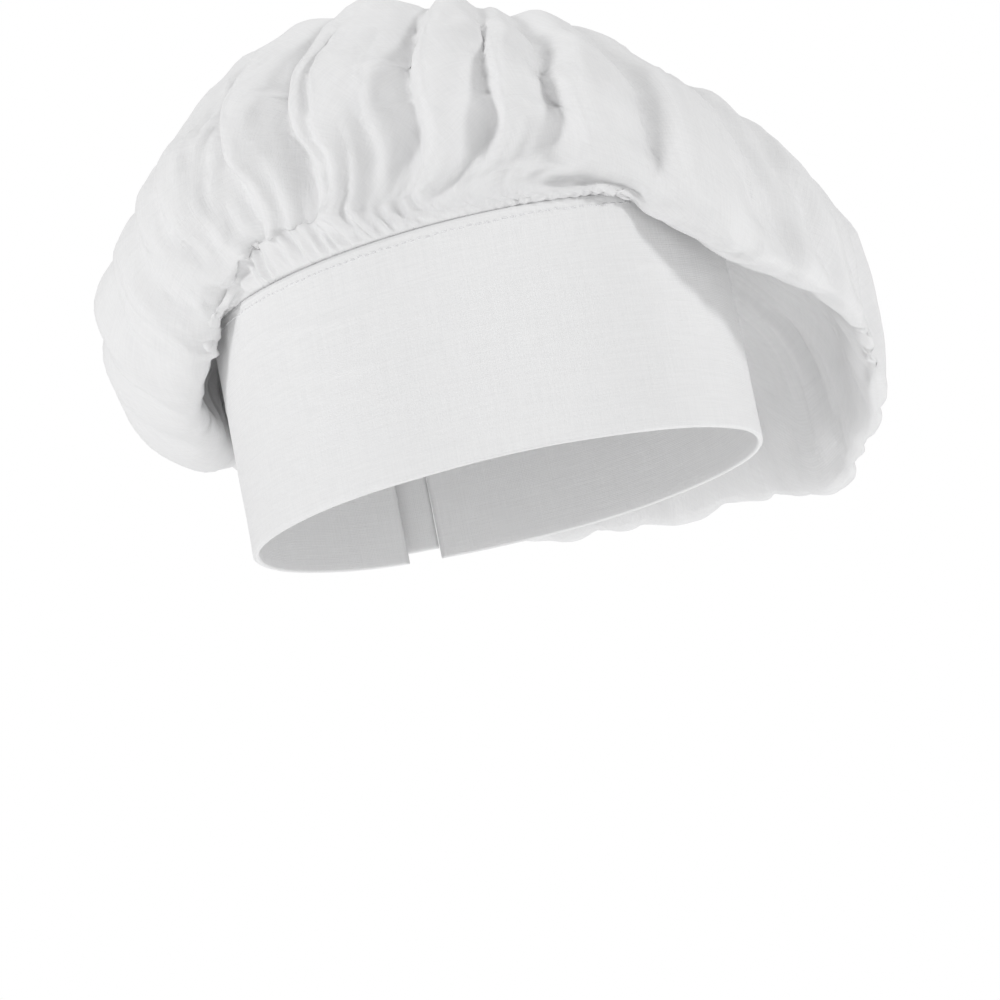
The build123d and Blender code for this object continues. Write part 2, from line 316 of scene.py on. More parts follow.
# The strip's section, from the seam down the outside, round the fold and up the inside.
band_pitch = 0.0018
wall_inset = cloth_thickness / 2
fold_radius = band_thickness / 2 - wall_inset
fold_steps = 6
outer_heights = np.linspace(band_top - wall_inset, fold_radius + wall_inset, 52)
inner_heights = np.linspace(fold_radius + wall_inset, band_top - wall_inset, 27)
fold_angles = np.linspace(0, math.pi, fold_steps + 2)[1:-1]
section_out = np.concatenate([
    np.full(len(outer_heights), -wall_inset),
    -band_thickness / 2 + fold_radius * np.cos(fold_angles),
    np.full(len(inner_heights), wall_inset - band_thickness),
])
section_height = np.concatenate([
    outer_heights,
    fold_radius + wall_inset - fold_radius * np.sin(fold_angles),
    inner_heights,
])
section_steps = np.hypot(np.diff(section_out), np.diff(section_height))
section_length = np.concatenate([[0], np.cumsum(section_steps)])
band_turns = oval_turns(band_start, band_end, band_pitch)
band_columns = len(band_turns)

# Packing creases, each a faint ridge: turn in degrees and height at its two ends, then depth.
crease_half_width = 0.0016
packing_creases = (
    (176, 0.0630, 240, 0.0525, 0.00060),
    (180, 0.0470, 243, 0.0350, 0.00055),
    (215, 0.0270, 272, 0.0180, 0.00055),
    (262, 0.0510, 330, 0.0540, 0.00040),
    (20, 0.0560, 66, 0.0430, 0.00045),
    (130, 0.0500, 170, 0.0550, 0.00045),
)

band_turn, band_out = np.meshgrid(band_turns, section_out)
band_height = np.repeat(section_height[:, None], band_columns, axis=1)
band_flat = np.repeat(section_length[:, None], band_columns, axis=1)
end_closeness = np.clip(
    np.minimum(np.arange(band_columns), np.arange(band_columns)[::-1]) / 2, 0, 1
)[None, :]
turned_in = -band_thickness / 2 + (band_out + band_thickness / 2) * 0.32
band_out = turned_in + (band_out - turned_in) * end_closeness
band_points = oval_place(band_turn, band_out, band_height).reshape(-1, 3)
band_turn, band_flat = band_turn.ravel(), band_flat.ravel()
band_height = band_height.ravel()
outward = oval_place(band_turn, 1, 0) - oval_place(band_turn, 0, 0)
outward /= np.linalg.norm(outward, axis=1)[:, None]
swell = 0.0005 * soft_noise(band_points, 0.035, 3) + 0.0003 * soft_noise(band_points, 0.012, 8)
for from_turn, from_height, to_turn, to_height, depth in packing_creases:
    along = ((np.degrees(band_turn) - from_turn) % 360) / ((to_turn - from_turn) % 360)
    line_height = from_height + (to_height - from_height) * along
    line_height += 0.0012 * np.sin(9 * along)
    from_line = (band_height - line_height) / crease_half_width
    ridge = np.exp(-from_line ** 2) - 0.5 * np.exp(-(from_line + 1.3) ** 2)
    swell += depth * ridge * np.clip(along / 0.1, 0, 1) * np.clip((1 - along) / 0.1, 0, 1)
drawn_random = np.random.default_rng(4)
drawn_pitch = 0.0052
drawn_columns = np.interp(
    np.arange(band_columns) * band_pitch / drawn_pitch,
    np.arange(200), drawn_random.uniform(-1, 1, 200)
)
drawn = np.tile(drawn_columns, len(section_out))
swell += 0.00045 * drawn * np.exp(-(band_top - band_height) / 0.006)
# The cloth only ever swells away from the interfacing inside it, and lies flat under the tapes.
swell_softness = 0.0002
swell = swell_softness * np.logaddexp(0, swell / swell_softness)
which_wall = np.repeat(np.clip(2 * section_out / band_thickness + 1, -1, 1), band_columns)
edge_calm = np.clip((band_top - band_height) / 0.010, 0, 1) * 0.8 + 0.2
tape_middle, tape_half_span = 98, 50
tape_calm = 1 - np.clip(2 * turn_hump(band_turn, tape_middle, tape_half_span), 0, 1)
band_points += outward * (swell * which_wall * edge_calm * tape_calm)[:, None]
band_points[:, 2] += 0.0004 * soft_noise(band_points, 0.03, 5) * (
    1 - np.clip(band_height / 0.02, 0, 1)
)
band_cut = np.stack([
    np.tile(np.arange(band_columns) * band_pitch, len(section_out)) / cut_unit,
    band_flat / cut_unit,
], axis=-1)
band = cloth_piece(
    "band_cloth_folded", band_points, grid_faces(len(section_out), band_columns),
    band_material, band_cut,
)
give_thickness(band, cloth_thickness)
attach(band, "hat")
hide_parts("band_cloth")

# ---- interfacing ---------------------------------------------------------------------------
# A bonded non-woven strip stiffens the band, and a shorter one stiffens the strap. Both lie
# inside their cloth, so only their finish is added here.

interfacing_material = bpy.data.materials.new("bonded interfacing")
interfacing_material.use_nodes = True
interfacing_nodes = interfacing_material.node_tree.nodes
interfacing_links = interfacing_material.node_tree.links
interfacing_shader = interfacing_nodes["Principled BSDF"]
interfacing_shader.inputs["Roughness"].default_value = 0.95
fibre_place = interfacing_nodes.new("ShaderNodeTexCoord")
fibres = interfacing_nodes.new("ShaderNodeTexNoise")
fibres.inputs["Scale"].default_value = 1800
fibres.inputs["Detail"].default_value = 4
fibres.inputs["Distortion"].default_value = 2
interfacing_links.new(fibre_place.outputs["Object"], fibres.inputs["Vector"])
fibre_tint = interfacing_nodes.new("ShaderNodeValToRGB")
fibre_tint.color_ramp.elements[0].color = (0.70, 0.70, 0.69, 1)
fibre_tint.color_ramp.elements[1].color = (0.84, 0.84, 0.82, 1)
interfacing_links.new(fibres.outputs[0], fibre_tint.inputs["Fac"])
interfacing_links.new(fibre_tint.outputs["Color"], interfacing_shader.inputs["Base Color"])
fibre_bump = interfacing_nodes.new("ShaderNodeBump")
fibre_bump.inputs["Distance"].default_value = 0.0001
interfacing_links.new(fibres.outputs[0], fibre_bump.inputs["Height"])
interfacing_links.new(fibre_bump.outputs["Normal"], interfacing_shader.inputs["Normal"])
for node_name in ("band_interfacing", "strap_interfacing"):
    node_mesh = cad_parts[node_name].data
    node_mesh.materials.clear()
    node_mesh.materials.append(interfacing_material)

# ---- crown cloth ---------------------------------------------------------------------------
# The crown is one round cut of thin bleached cotton. Its edge is gathered into the top of the
# band, so fine puckers run up from the seam and join into soft folds. It has flopped over to
# the wearer's left and back. The cloth is settled by simulation and then given its puckers.

cut_radius = 0.245
flop_heading = math.radians(40)
crown_edge_out = -0.0006
crown_edge_height = band_top - 0.0004
crown_thickness = 0.0004

# Rings of the crown's form: share of the cut's radius in from the edge, centre X, Y, Z, radius
# along the flop and across it, all in millimetres, and the tilt down towards the flop.
crown_rings = (
    (0.07, 10, 6.5, 68, 114, 105.5, 8.4),
    (0.13, 16, 10.5, 54, 125, 115, 15.4),
    (0.19, 19, 13, 48, 135, 123, 19.5),
    (0.27, 16.5, 15, 57, 143, 131, 18.9),
    (0.36, 15, 14, 77, 140, 128, 17.5),
    (0.46, 15.5, 10.5, 96, 125.5, 113.5, 13.7),
    (0.57, 14, 8, 113.5, 106, 93, 12.7),
    (0.69, 14, 4, 130.5, 83, 70, 15.5),
    (0.81, 10, 2, 142, 56, 48, 12.6),
    (0.92, 7, 1.3, 148.5, 27, 22, 10.6),
    (1.0, 6, 1, 150.5, 0, 0, 10),
)
ring_shares = np.array([0.0] + [ring[0] for ring in crown_rings])

# Where the form leaves those plain rings: the middle and half span of a stretch, in degrees,
# then how far it moves out and up at the shares given, in millimetres.
form_changes = (
    (
        "the front stands tall", 226, 66,
        (0, 0.07, 0.13, 0.19, 0.27, 0.36, 0.46, 0.57, 0.69, 0.81, 1.0),
        (0, 0, 0, 0, 0, 0, 0, 0, 0, 0, 0),
        (0, 3, 9, 13, 15, 15, 18, 16, 8, 3, 0),
    ),
    (
        "the right front rises straight from the seam", 206, 56,
        (0, 0.07, 0.13, 0.19, 0.27, 0.36, 0.46, 0.57, 0.69, 1.0),
        (0, -9, -8, -7, -11, -12, -9, -3, 0, 0),
        (0, 0, 0, 0, 0, 0, 0, 0, 0, 0),
    ),
    (
        "the lip over the band's left front", 294, 37,
        (0, 0.04, 0.09, 0.15, 0.24, 0.34, 0.46, 1.0),
        (0, 3, 5, 5, 4, 2, 0, 0),
        (0, -6, -15, -19, -15, -7, 0, 0),
    ),
    (
        "the bag hangs lowest at the left front", 346, 48,
        (0, 0.07, 0.13, 0.19, 0.27, 0.36, 0.46, 1.0),
        (0, 3, 2, -7, -9, -4, 0, 0),
        (0, -9, -18, -18, -12, -6, -3, 0),
    ),
    (
        "the back keeps clear of the opened strap", 100, 42,
        (0, 0.04, 0.07, 0.13, 0.19, 0.27, 0.36, 1.0),
        (0, 0, 1, 3, 5, 4, 0, 0),
        (0, 2, 8, 13, 14, 9, 2, 0),
    ),
    (
        "the gathers on the wearer's right hang against the band", 156, 44,
        (0, 0.04, 0.09, 0.15, 0.22, 0.30, 0.42, 1.0),
        (0, -7, -16, -15, -5, 1, 0, 0),
        (0, -6, -14, -17, -12, -4, 0, 0),
    ),
)


def ring_points(ring, turn):
    """Points of one ring of the form at an array of turns round the hat."""
    _, centre_x, centre_y, centre_z, along, across, tilt_degrees = ring
    tilt = math.radians(tilt_degrees)
    heading = np.array((math.cos(flop_heading), math.sin(flop_heading), 0))
    downhill = heading * math.cos(tilt) + np.array((0, 0, -math.sin(tilt)))
    level = np.array((-math.sin(flop_heading), math.cos(flop_heading), 0))
    cosine = np.cos(turn - flop_heading)[:, None]
    sine = np.sin(turn - flop_heading)[:, None]
    centre = np.array((centre_x, centre_y, centre_z))
    return (centre + along * cosine * downhill + across * sine * level) / 1000


def curve_between(before, here, there, after, part, back_step=1.0, step=1.0, next_step=1.0):
    """A smooth curve from here to there that also heeds the points before and after."""
    slope_here = (there - before) / (back_step + step) * step
    slope_there = (after - here) / (step + next_step) * step
    square, cube = part ** 2, part ** 3
    return (
        (2 * cube - 3 * square + 1) * here
        + (cube - 2 * square + part) * slope_here
        + (3 * square - 2 * cube) * there
        + (cube - square) * slope_there
    )


smoothing_steps = np.linspace(-0.05, 0.05, 7)
band_clearance = 0.0025


def keep_off_band(points, share):
    """Moves points that would sink into the band out to a small clearance from its face."""
    points = points.copy()
    spread = np.hypot(points[:, 0] / half_width, points[:, 1] / half_depth)
    needed = 1 + band_clearance / half_width * np.clip(share / 0.03, 0, 1)
    below_top = np.clip((band_top + 0.004 - points[:, 2]) / 0.004, 0, 1)
    push = np.clip(needed / np.maximum(spread, 1e-6) - 1, 0, None) * below_top * (share > 0.002)
    points[:, :2] *= (1 + push)[:, None]
    return points


def form_points(share, turn):
    """Points of the smooth form, for arrays of share in from the edge and turn round the hat."""
    seam = oval_place(turn, crown_edge_out, crown_edge_height)
    rings = np.stack([seam] + [ring_points(ring, turn) for ring in crown_rings])
    share = np.clip(share, 0, 1)
    span = np.clip(np.searchsorted(ring_shares, share, side="right") - 1, 0, len(rings) - 2)
    before = np.clip(span - 1, 0, None)
    after = np.clip(span + 2, None, len(rings) - 1)
    column = np.arange(len(turn))
    step = (ring_shares[span + 1] - ring_shares[span])[:, None]
    points = curve_between(
        rings[before, column], rings[span, column], rings[span + 1, column],
        rings[after, column], (share - ring_shares[span])[:, None] / step,
        (ring_shares[span] - ring_shares[before])[:, None], step,
        (ring_shares[after] - ring_shares[span + 1])[:, None],
    )
    outward = np.stack([np.cos(turn), np.sin(turn), 0 * turn], axis=-1)
    for _, middle, half_span, shares, moves_out, moves_up in form_changes:
        strength = np.clip(1.5 * turn_hump(turn, middle, half_span), 0, 1)
        strength = strength * np.clip(share / 0.04, 0, 1) / len(smoothing_steps) / 1000
        for smoothing_step in smoothing_steps:
            near_share = share + smoothing_step
            points += outward * (strength * np.interp(near_share, shares, moves_out))[:, None]
            points[:, 2] += strength * np.interp(near_share, shares, moves_up)
    return keep_off_band(points, share)


def form_normals(share, turn):
    """Outward normals of the smooth form."""
    nudge, wide_nudge = 0.02, 0.03
    along = form_points(share + wide_nudge, turn) - form_points(share - wide_nudge, turn)
    round_hat = form_points(share, turn + nudge) - form_points(share, turn - nudge)
    normal = np.cross(round_hat, along)
    return normal / (np.linalg.norm(normal, axis=1)[:, None] + 1e-12)


# Folds: turn at the seam in degrees, how far the fold wanders round the hat by the top, where
# it starts and where it has died away (shares of the cut's radius), depth and width in
# millimetres. One side of a fold is steep and the other is gentle. The placed ones come first,
# then the seeded ones round the side and back.
crown_folds = [
    (212, 14, 0.00, 0.96, 18, 6),
    (219, 9, 0.00, 0.34, 7, 4),
    (225, 14, 0.00, 0.80, 9, 5),
    (232, 18, 0.00, 1.00, 19, 6),
    (239, 12, 0.00, 0.34, 8, 4),
    (243.5, 20, 0.00, 0.98, 17, 5),
    (249, 9, 0.00, 0.44, 10, 4),
    (254, 17, 0.00, 0.98, 17, 6),
    (260, 14, 0.00, 0.30, 8, 4),
    (266, 18, 0.00, 0.86, 13, 6),
    (205, 6, 0.00, 0.36, 8, 5),
    (200, 8, 0.00, 0.92, 17, 6),
    (194, -6, 0.00, 0.30, 7, 5),
    (188, -12, 0.00, 0.50, 12, 6),
    (181, -14, 0.00, 0.46, 11, 6),
    (175, -5, 0.02, 0.36, 8, 5),
    (168, 2, 0.02, 0.56, 12, 7),
    (161, -5, 0.00, 0.42, 9, 6),
    (154, 6, 0.03, 0.60, 12, 8),
    (147, 0, 0.00, 0.40, 8, 6),
    (228.5, 18, 0.02, 0.85, 7, 3.5),
    (246.5, 19, 0.00, 0.80, 7, 3),
    (216, 16, 0.05, 0.80, 7, 3.5),
    (203, -3, 0.04, 0.60, 6, 3),
    (197, 2, 0.05, 0.66, 7, 3),
    (191, -5, 0.02, 0.55, 7, 3),
    (184, -8, 0.05, 0.62, 7, 3.5),
    (178, -6, 0.02, 0.50, 6, 3),
    (171, 4, 0.05, 0.60, 7, 3.5),
    (164, -6, 0.03, 0.52, 6, 3),
    (276, 16, 0.06, 0.44, 9, 6),
    (281, 30, 0.10, 0.70, 9, 4),
    (296, -16, 0.12, 0.56, 9, 4),
    (288, 12, 0.16, 0.84, 13, 7),
    (303, -8, 0.10, 0.62, 12, 7),
    (316, -3, 0.04, 0.60, 16, 10),
    (327, -12, 0.10, 0.80, 13, 8),
    (345, 8, 0.02, 0.36, 9, 12),
    (336, 6, 0.14, 0.55, 8, 4),
    (352, -8, 0.12, 0.50, 9, 4),
    (321, 10, 0.20, 0.60, 8, 4),
]
fold_random = np.random.default_rng(11)
seam_turn = 358.0
while seam_turn < 360 + 142:
    crown_folds.append((
        seam_turn,
        fold_random.uniform(-9, 9),
        0.0,
        fold_random.uniform(0.35, 0.9),
        fold_random.uniform(6, 13),
        fold_random.uniform(5, 11),
    ))
    seam_turn += fold_random.uniform(8, 17)


def fold_depth(share, turn, radius):
    """How far the folds press the cloth in, in metres."""
    total = np.zeros_like(share)
    for seam_at, wander, start, end, depth, width in crown_folds:
        centre = np.radians(seam_at + wander * np.clip(share / end, 0, 1))
        away = (turn - centre + math.pi) % (2 * math.pi) - math.pi
        distance = away * radius / (width / 1000)
        distance = np.where(distance > 0, distance / 0.8, -distance / 2.6)
        profile = np.exp(-distance ** 1.2)
        rise = np.clip((share - start + 0.01) / 0.07, 0, 1)
        fall = np.clip((end - share) / (0.65 * (end - start)), 0, 1)
        total += (depth / 1000 * profile * rise * fall) ** 3
    return np.cbrt(total)


# The cut is laid out as rings of points that halve in number towards its centre: coarse ones
# for the simulation, then fine ones that carry the puckers.
coarse_rings = []
ring_radius = cut_radius
ring_count = 360
while ring_radius > 0.006:
    coarse_rings.append((ring_radius, ring_count))
    ring_radius -= 0.0055
    if ring_count > 24 and ring_radius / ring_count < 0.45 * cut_radius / 360:
        ring_count //= 2
fine_rings = []
ring_radius = cut_radius
ring_count = 960
while ring_radius > 0.004:
    fine_rings.append((ring_radius, ring_count))
    ring_radius -= 0.0020 if ring_radius > cut_radius - 0.026 else 0.0033
    if ring_count > 30 and ring_radius < cut_radius - 0.026:
        if ring_count == 960 or ring_radius / ring_count < 0.5 * cut_radius / 480:
            ring_count //= 2


def disc_faces(rings):
    """Faces of a disc of rings, from the edge in to its centre point."""
    starts = np.concatenate([[0], np.cumsum([count for _, count in rings])]).tolist()
    faces = []
    for number in range(len(rings) - 1):
        outer, outer_count = starts[number], rings[number][1]
        inner, inner_count = starts[number + 1], rings[number + 1][1]
        for column in range(inner_count):
            beside = (column + 1) % inner_count
            if inner_count == outer_count:
                faces.append((outer + column, outer + beside, inner + beside, inner + column))
            else:
                first = outer + 2 * column
                last = outer + (2 * column + 2) % outer_count
                faces.append((first, first + 1, inner + column))
                faces.append((first + 1, inner + beside, inner + column))
                faces.append((first + 1, last, inner + beside))
    inner, inner_count = starts[-2], rings[-1][1]
    for column in range(inner_count):
        faces.append((inner + column, inner + (column + 1) % inner_count, starts[-1]))
    return faces


def disc_coordinates(rings):
    """Share in from the edge and turn round the hat of each point of a disc of rings."""
    share, turn = [], []
    for radius, count in rings:
        share += [1 - radius / cut_radius] * count
        turn += [2 * math.pi * column / count for column in range(count)]
    return np.array(share + [1.0]), np.array(turn + [0.0])


def disc_cut(share, turn):
    """Places on the flat cut, in cut units."""
    reach = (1 - share) * cut_radius / cut_unit
    return np.stack([0.5 + reach * np.cos(turn), 0.5 + reach * np.sin(turn)], axis=-1)


crown_material = woven_cotton("crushed crown cotton", weave_pitch, slub_depth, 0.011, 0.0009)
share, turn = disc_coordinates(coarse_rings)
form = form_points(share, turn)
normals = form_normals(share, turn)
normals[-1] = (0, 0, 1)
crown_middle = np.array((0.010, 0.008))
radius = np.linalg.norm(form[:, :2] - crown_middle, axis=1)
folded_in = fold_depth(share, turn, radius)
rim = hump(share, 0.17, 0.13) * (1 - np.clip(1.5 * turn_hump(turn, 228, 50), 0, 1))
folded_in *= 1 - 0.6 * rim
from_sewn_edge = form - oval_place(turn, crown_edge_out, crown_edge_height)
folded_in = np.minimum(folded_in, 0.7 * np.linalg.norm(from_sewn_edge, axis=1))
start_points = form - normals * folded_in[:, None]
start_points += normals * (0.0040 * np.clip(share / 0.12, 0, 1))[:, None]
start_points = keep_off_band(start_points, share)
settling = cloth_piece(
    "crown_settling", start_points, disc_faces(coarse_rings), crown_material,
    disc_cut(share, turn),
)
settled = start_points
pinned = settling.vertex_groups.new(name="sewn edge")
edge_count = coarse_rings[0][1]
pinned.add(range(edge_count), 1.0, "REPLACE")
pinned.add(range(edge_count, 2 * edge_count), 0.5, "REPLACE")
cloth = settling.modifiers.new("settle", "CLOTH")
cloth.settings.quality = 6
cloth.settings.mass = 0.15
cloth.settings.tension_stiffness = 30
cloth.settings.compression_stiffness = 20
cloth.settings.shear_stiffness = 8
cloth.settings.bending_stiffness = 3
cloth.settings.air_damping = 2
cloth.settings.tension_damping = 15
cloth.settings.compression_damping = 15
cloth.settings.shear_damping = 10
cloth.settings.bending_damping = 1
cloth.settings.vertex_group_mass = "sewn edge"
cloth.settings.use_pressure = True
cloth.settings.uniform_pressure_force = 0.25
cloth.settings.effector_weights.gravity = 0.03
cloth.collision_settings.use_self_collision = True
cloth.collision_settings.self_distance_min = 0.0015
cloth.collision_settings.use_collision = False
bpy.context.scene.gravity = (2.9, 2.5, -9.0)
settling_frames = 6
for frame_number in range(1, settling_frames + 1):
    bpy.context.scene.frame_set(frame_number)
pick(settling)
bpy.ops.object.modifier_apply(modifier="settle")
settled = np.zeros(3 * len(settling.data.vertices))
settling.data.vertices.foreach_get("co", settled)
# The front takes up only part of the settling, so its broad folds are not broken up.
settling_share = 1 - 0.65 * np.clip(1.5 * turn_hump(turn, 236, 72), 0, 1)
settled = start_points + (settled.reshape(-1, 3) - start_points) * settling_share[:, None]
bpy.data.objects.remove(settling)

coarse_counts = [count for _, count in coarse_rings] + [1]
coarse_starts = np.concatenate([[0], np.cumsum(coarse_counts)])
coarse_shares = np.array([1 - radius / cut_radius for radius, _ in coarse_rings] + [1.0])


def settled_ring(number, turn):
    """Settled points of one coarse ring at an array of turns round the hat."""
    start, count = coarse_starts[number], coarse_counts[number]
    ring = settled[start:start + count]
    place = turn / (2 * math.pi) * count
    first = np.floor(place).astype(int)
    near = [ring[(first + step) % count] for step in (-1, 0, 1, 2)]
    return curve_between(*near, (place - first)[:, None])


fine_points = []
for radius, count in fine_rings + [(0.0, 1)]:
    ring_turns = 2 * math.pi * np.arange(count) / count
    ring_share = 1 - radius / cut_radius
    inside = int(np.clip(np.searchsorted(coarse_shares, ring_share, side="right") - 1,
                         0, len(coarse_shares) - 2))
    step = coarse_shares[inside + 1] - coarse_shares[inside]
    around = [max(inside - 1, 0), inside, inside + 1, min(inside + 2, len(coarse_shares) - 1)]
    fine_points.append(curve_between(
        *(settled_ring(number, ring_turns) for number in around),
        (ring_share - coarse_shares[inside]) / step,
        coarse_shares[inside] - coarse_shares[around[0]], step,
        coarse_shares[around[3]] - coarse_shares[inside + 1],
    ))
fine_points = np.concatenate(fine_points)
share, turn = disc_coordinates(fine_rings)
crown = cloth_piece(
    "crown_cloth_gathered", fine_points, disc_faces(fine_rings), crown_material,
    disc_cut(share, turn),
)
normals = np.zeros(3 * len(crown.data.vertices))
crown.data.vertices.foreach_get("normal", normals)
normals = normals.reshape(-1, 3)

# Puckers from the gathering: small creases of uneven depth, length and spacing at the seam.
from_seam = share * cut_radius
seam_radius = np.linalg.norm(oval_place(turn, 0, 0), axis=1)
pucker_random = np.random.default_rng(5)
puckers = np.zeros_like(share)
near_seam = from_seam < 0.075
pucker_turn = 0.0
while pucker_turn < 2 * math.pi:
    lean = pucker_random.uniform(-1.2, 2.4)
    reach = pucker_random.uniform(0.2, 1.0) ** 1.5 * 0.072
    depth = pucker_random.uniform(0.0006, 0.0021)
    width = pucker_random.uniform(0.0008, 0.0017)
    centre = pucker_turn + lean * from_seam[near_seam]
    away = (turn[near_seam] - centre + math.pi) % (2 * math.pi) - math.pi
    widening = width * (1 + 40 * from_seam[near_seam])
    distance = away * seam_radius[near_seam] / widening
    crease = np.exp(-distance ** 2) - 0.45 * np.exp(-(np.abs(distance) - 1.6) ** 2)
    rise = np.clip(from_seam[near_seam] / 0.004, 0, 1)
    puckers[near_seam] += depth * crease * rise * np.clip(1 - from_seam[near_seam] / reach, 0, 1)
    pucker_turn += pucker_random.uniform(0.0028, 0.0056) / 0.093
wrinkles = 0.0009 * soft_noise(fine_points, 0.022, 1) + 0.0005 * soft_noise(fine_points, 0.009, 2)
crush = soft_noise(fine_points * (1, 1, 0.6), 0.045, 4)
wrinkles += 0.0036 * (0.5 - np.sqrt(np.abs(crush))) * np.clip((share - 0.25) / 0.2, 0, 1)
wrinkles *= np.clip(from_seam / 0.02, 0, 1)
fine_points = fine_points + normals * (wrinkles - puckers)[:, None]
fine_points = keep_off_band(fine_points, share * 0.3)
crown.data.vertices.foreach_set("co", fine_points.ravel())
give_thickness(crown, crown_thickness, -1.0)
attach(crown, "hat")
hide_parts("crown_cloth")

# ---- seam stitching ------------------------------------------------------------------------
# A row of lockstitch runs round the top of the band through the crown's allowance. Each stitch
# is a short length of white thread that dips into the cloth at both ends.

thread_thickness = 0.0005
stitch_length = 0.0024
stitch_pitch = 0.0028

thread_material = bpy.data.materials.new("spun sewing thread")
thread_material.use_nodes = True
thread_nodes, thread_links = thread_material.node_tree.nodes, thread_material.node_tree.links
thread_shader = thread_nodes["Principled BSDF"]
thread_shader.inputs["Roughness"].default_value = 0.6
thread_shader.inputs["Sheen Weight"].default_value = 0.2
thread_place = thread_nodes.new("ShaderNodeTexCoord")
thread_twist = thread_nodes.new("ShaderNodeTexWave")
thread_twist.bands_direction = "DIAGONAL"
thread_twist.inputs["Scale"].default_value = 900
thread_twist.inputs["Distortion"].default_value = 1.5
thread_links.new(thread_place.outputs["Object"], thread_twist.inputs["Vector"])
thread_tint = thread_nodes.new("ShaderNodeValToRGB")
thread_tint.color_ramp.elements[0].color = (0.70, 0.70, 0.71, 1)
thread_tint.color_ramp.elements[1].color = (0.84, 0.84, 0.85, 1)
thread_links.new(thread_twist.outputs[1], thread_tint.inputs["Fac"])
thread_links.new(thread_tint.outputs["Color"], thread_shader.inputs["Base Color"])
thread_bump = thread_nodes.new("ShaderNodeBump")
thread_bump.inputs["Distance"].default_value = 0.00006
thread_links.new(thread_twist.outputs[1], thread_bump.inputs["Height"])
thread_links.new(thread_bump.outputs["Normal"], thread_shader.inputs["Normal"])

bpy.ops.object.select_all(action="DESELECT")
bpy.ops.mesh.primitive_uv_sphere_add(
    segments=6, ring_count=7, radius=0.5, rotation=(0, math.pi / 2, 0)
)
one_stitch = bpy.context.active_object
bpy.ops.object.transform_apply(rotation=True)
bpy.ops.object.mode_set(mode="EDIT")
bpy.ops.mesh.select_all(action="SELECT")
bpy.ops.transform.resize(value=(stitch_length, thread_thickness, thread_thickness))
bpy.ops.mesh.select_all(action="DESELECT")
stitch_shape = bmesh.from_edit_mesh(one_stitch.data)
for vertex in stitch_shape.verts:
    vertex.select = abs(vertex.co.x) > 0.38 * stitch_length
stitch_shape.select_flush_mode()
bmesh.update_edit_mesh(one_stitch.data)
bpy.ops.transform.translate(value=(0, 0, -0.5 * thread_thickness))
bpy.ops.object.mode_set(mode="OBJECT")
stitch_points = np.array([vertex.co for vertex in one_stitch.data.vertices])
stitch_faces = [tuple(polygon.vertices) for polygon in one_stitch.data.polygons]
bpy.data.objects.remove(one_stitch)


def stitch_row(name, centres, alongs, outs, body, node):
    """A row of stitches: each has a centre, a way along the row and a way out of the cloth."""
    points, faces = [], []
    for centre, along, out in zip(centres, alongs, outs):
        along = along / np.linalg.norm(along)
        out = out - along * (out @ along)
        out = out / np.linalg.norm(out)
        across = np.cross(out, along)
        first = len(points) * len(stitch_points)
        points.append(centre + stitch_points @ np.stack([along, across, out]))
        faces += [tuple(corner + first for corner in face) for face in stitch_faces]
    points = np.concatenate(points)
    row = cloth_piece(name, points, faces, thread_material, points[:, :2])
    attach(row, body)
    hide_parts(node)
    return row


def outward_at(turn, out=0.0):
    """The way straight out of the band at an array of turns."""
    way = np.stack([
        (half_depth + out) * np.cos(turn), (half_width + out) * np.sin(turn), 0 * turn
    ], axis=-1)
    return way / np.linalg.norm(way, axis=1)[:, None]


def oval_stitches(start, end, out, height, pitch=stitch_pitch):
    """Centres, ways along and ways out for a level row of stitches on the band."""
    turns = oval_turns(start, end, pitch)
    turns = (turns[1:] + turns[:-1]) / 2
    centres = oval_place(turns, out, height)
    return centres, np.cross((0, 0, 1), outward_at(turns)), outward_at(turns)


seam_row_height = band_top - 0.0033
seam_centres, seam_alongs, seam_outs = oval_stitches(
    band_start + 0.01, band_end - 0.01, 0.0001, seam_row_height
)
seam_wander = np.random.default_rng(6).normal(0, 0.00012, len(seam_centres))
seam_centres[:, 2] += seam_wander
stitch_row("crown_seam_stitches", seam_centres, seam_alongs, seam_outs, "hat",
           "crown_seam_stitch")

# ---- inside of the seam --------------------------------------------------------------------
# The raw edges of crown and band are trimmed together and bound by three overlock threads: two
# needle lines along, and a looper thread that zigzags over the edge. The thread that drew up
# the gathers was left in beside them.

overlock_height = 0.007
overlock_face = -band_thickness - 0.00005
allowance_thickness = 0.0009


def thread_along(name, points, thickness):
    """A thread that follows a list of points, as a closed mesh tube."""
    curve = bpy.data.curves.new(name, "CURVE")
    curve.dimensions = "3D"
    curve.bevel_depth = thickness / 2
    curve.bevel_resolution = 0
    curve.use_fill_caps = True
    spline = curve.splines.new("POLY")
    spline.points.add(len(points) - 1)
    for spline_point, place in zip(spline.points, points):
        spline_point.co = (*place, 1)
    thread = bpy.data.objects.new(name, curve)
    bpy.context.scene.collection.objects.link(thread)
    pick(thread)
    bpy.ops.object.convert(target="MESH")
    thread = bpy.context.active_object
    thread.data.materials.clear()
    thread.data.materials.append(thread_material)
    thread.data.polygons.foreach_set("use_smooth", [True] * len(thread.data.polygons))
    return thread


def join(pieces, name):
    """Joins pieces into the first one, under a new name."""
    pick(pieces[0])
    for piece in pieces[1:]:
        piece.select_set(True)
    bpy.ops.object.join()
    pieces[0].name = name
    return pieces[0]


